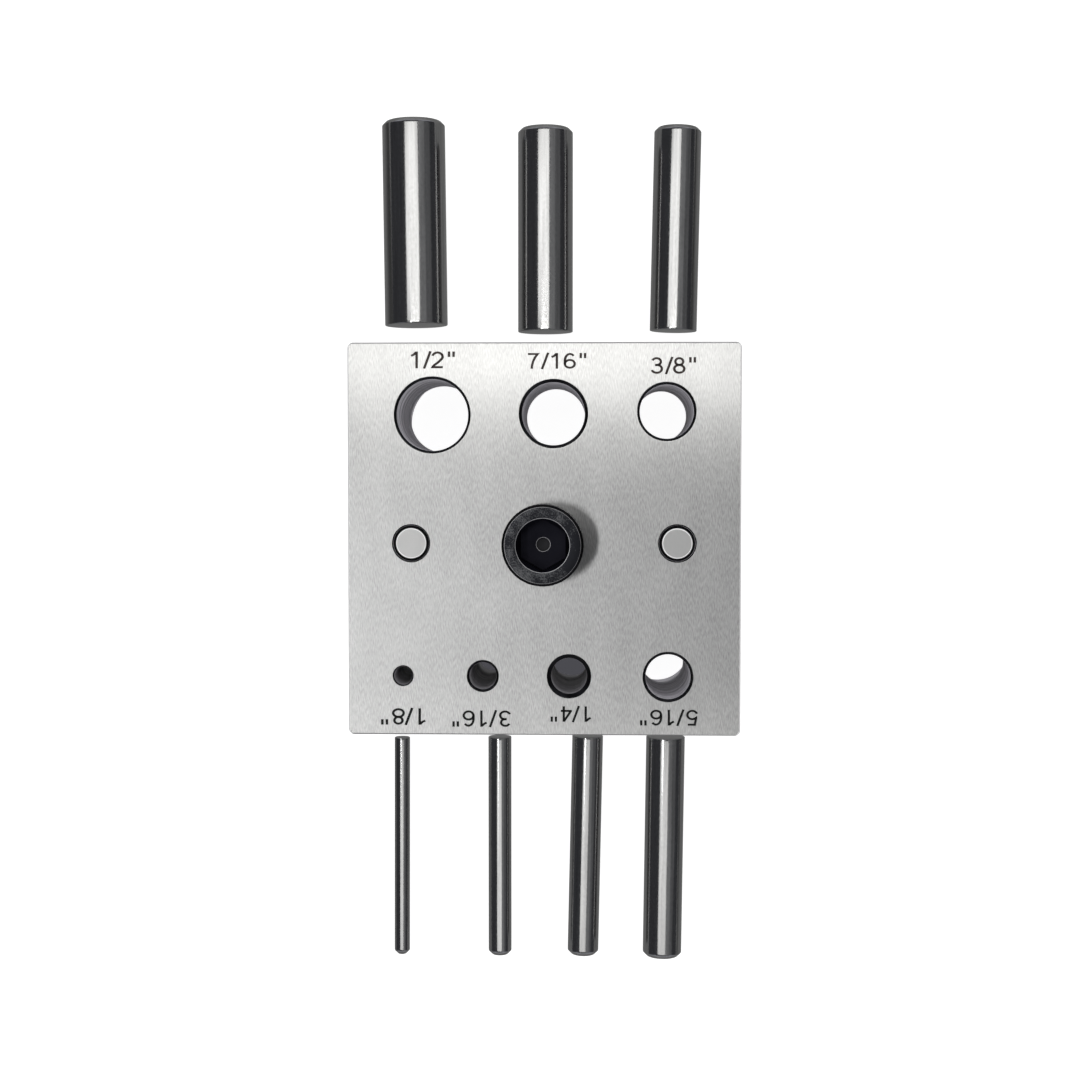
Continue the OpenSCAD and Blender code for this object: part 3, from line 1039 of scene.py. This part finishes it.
def area_light(name, place, target, size, radiance, colour=(1.0, 1.0, 1.0)):
    """A flat light of so much brightness, facing target."""
    lamp = bpy.data.lights.new(name, "AREA")
    lamp.shape = "RECTANGLE"
    lamp.color = colour
    lamp.size, lamp.size_y = size
    lamp.energy = radiance * math.pi * size[0] * size[1]
    light = add_object(name, lamp)
    light.location = place
    light.rotation_euler = facing(place, target)
    light.visible_camera = False


class CUTTER_OT_stage(Operator):
    """Set up the floor, lights and camera"""

    bl_idname = "cutter.stage"
    bl_label = "Stage"

    def execute(self, context):
        scene = context.scene
        stage = scene.cutter.stage
        self.add_surroundings(stage)
        warm, plain = stage.warm_light, (1.0, 1.0, 1.0)
        height = 0.6
        # Name, left, right, near and far side, brightness and colour of the lights at that height
        soft_lights = (
            ("rear light", -0.33, 0.18, 0.098, 0.23, stage.rear_light, warm),
            ("strip light", -0.18, 0.14, 0.0583, 0.083, stage.strip_light, warm),
            ("left light", -0.3, -0.1, -0.087, 0.043, stage.left_light, plain),
            ("front light", -0.3, 0.2, -0.28, -0.125, stage.front_light, warm),
            ("side light", 0.21, 0.31, -0.4, 0.4, 1.2 * stage.side_light, plain),
            ("far side light", 0.31, 0.53, -0.4, 0.4, stage.side_light, plain),
            ("low side light", 0.53, 1.3, -0.4, 0.4, 0.45 * stage.side_light, plain),
        )
        for name, left, right, near, far, radiance, colour in soft_lights:
            x, y = (left + right) / 2, (near + far) / 2
            area_light(name, (x, y, height), (x, y, 0.0), (right - left, far - near), radiance, colour)
        area_light("key light", (-0.227, -0.073, 0.85), (0.0, 0.003, 0.05), (0.05, 0.22), stage.key_light)

        scene.world = world = bpy.data.worlds.new("room")
        world.use_nodes = True
        background = world.node_tree.nodes["Background"]
        background.inputs["Color"].default_value = (1.0, 1.0, 1.0, 1.0)
        background.inputs["Strength"].default_value = stage.room
        world.cycles_visibility.glossy = False

        lens = bpy.data.cameras.new("camera")
        lens.sensor_width = 36.0
        lens.lens = stage.lens
        lens.clip_start = 0.01
        scene.camera = camera = add_object("camera", lens)
        camera.location = stage.camera_place
        camera.rotation_euler = facing(stage.camera_place, stage.camera_target)
        scene.view_settings.view_transform = "Standard"
        return {"FINISHED"}

    @staticmethod
    def add_surroundings(stage):
        """A white floor to look at, with painted shade under the three smallest bores, and a dimmer floor and
        a dark dome that only reflections see.
        """
        white = Finish("white floor")
        across, along, _ = white.parts(white.millimetres())
        # Painted shade: the floor's colour and glow are made dark under the three smallest bores, standing
        # for the shade under the block that is seen through them
        sideways = across.above(-34.0) * (1.0 - across.above(15.0))
        shade_under_small_bores = sideways * along.above(-30.0) * (1.0 - along.above(-16.0))
        floor_white = white.close(
            Base_Color=white.blend(shade_under_small_bores, (0.25, 0.25, 0.25), (0.02, 0.02, 0.025)),
            Roughness=0.9,
            Emission_Color=white.blend(shade_under_small_bores, (1.0, 1.0, 1.0), (0.075, 0.075, 0.085)),
            Emission_Strength=stage.floor_glow,
        )

        def glowing(finish, colour, strength):
            dull = {"Base_Color": (0.0, 0.0, 0.0, 1.0), "Roughness": 1.0, "Specular_IOR_Level": 0.0}
            return finish.close(Emission_Color=colour, Emission_Strength=strength, **dull)

        shine = Finish("floor shine")
        across, along, _ = shine.parts(shine.millimetres())
        near = 1.0 - abs(across).ramp(42.0, 62.0) * 0.65
        level = near + (1.7 - near) * abs(along).ramp(95.0, 130.0)
        grey = shine.blend(level * 0.5, (0.0, 0.0, 0.0), (2.0, 2.0, 2.0))
        floor_shine = glowing(shine, grey, stage.floor_shine)

        room = Finish("dome shine")
        across, along, height = room.parts(room.millimetres())
        low_ends = (abs(along) - abs(across) * 0.45).ramp(0.0, 700.0) * (1.0 - height.ramp(1900.0, 2400.0))
        bluish = (0.96, 0.98, 1.08)
        dark, light = ([level * share for share in bluish] for level in (stage.dome_shine, stage.end_shine))
        room_shine = glowing(room, room.blend(low_ends, dark, light), 1.0)

        def plane(bm, level):
            matrix = Matrix.Translation((0, 0, level))
            bmesh.ops.create_grid(bm, x_segments=1, y_segments=1, size=3.0, matrix=matrix)

        def dome(bm, _):
            bmesh.ops.create_icosphere(bm, subdivisions=4, radius=3.2)
            bmesh.ops.reverse_faces(bm, faces=bm.faces)

        # Name, shape, level, material and whether the camera sees it or only reflections do
        surroundings = (
            ("floor", plane, -0.02 * MM, floor_white, True),
            ("floor shine", plane, -0.05 * MM, floor_shine, False),
            ("dome", dome, 0.0, room_shine, False),
        )
        for name, shape, level, material, seen in surroundings:
            bm = bmesh.new()
            shape(bm, level)
            thing = add_mesh(name, bm, [material])
            for rays in ("camera", "diffuse", "shadow", "transmission"):
                setattr(thing, "visible_" + rays, seen)
            thing.visible_glossy = not seen


PIECES = (
    CUTTER_OT_die_plate,
    CUTTER_OT_top_plate,
    CUTTER_OT_size_marks,
    CUTTER_OT_guide_pins,
    CUTTER_OT_lift_spring,
    CUTTER_OT_clamp_screw,
    CUTTER_OT_punches,
    CUTTER_OT_stage,
)


class CUTTER_PT_panel(Panel):
    """Lists the pieces of the disc cutter and their settings"""

    bl_label = "Disc cutter"
    bl_space_type = "VIEW_3D"
    bl_region_type = "UI"
    bl_category = "Disc cutter"

    def draw(self, context):
        for operator in PIECES:
            self.layout.operator(operator.bl_idname)
        cutter = context.scene.cutter
        for group in CutterSettings.__annotations__:
            box = self.layout.box()
            box.label(text=group.capitalize())
            settings = getattr(cutter, group)
            for name in type(settings).__annotations__:
                box.prop(settings, name)


SETTINGS = (BlockSettings, PinSettings, ScrewSettings, SpringSettings, PunchSettings, FinishSettings)
CLASSES = (*SETTINGS, StageSettings, CutterSettings, *PIECES, CUTTER_PT_panel)


def register():
    for cls in CLASSES:
        bpy.utils.register_class(cls)
    bpy.types.Scene.cutter = PointerProperty(type=CutterSettings)


def unregister():
    del bpy.types.Scene.cutter
    for cls in reversed(CLASSES):
        bpy.utils.unregister_class(cls)


def main():
    register()
    for piece in PIECES:
        getattr(bpy.ops.cutter, piece.bl_idname.split(".")[1])()


if __name__ == "__main__":
    main()
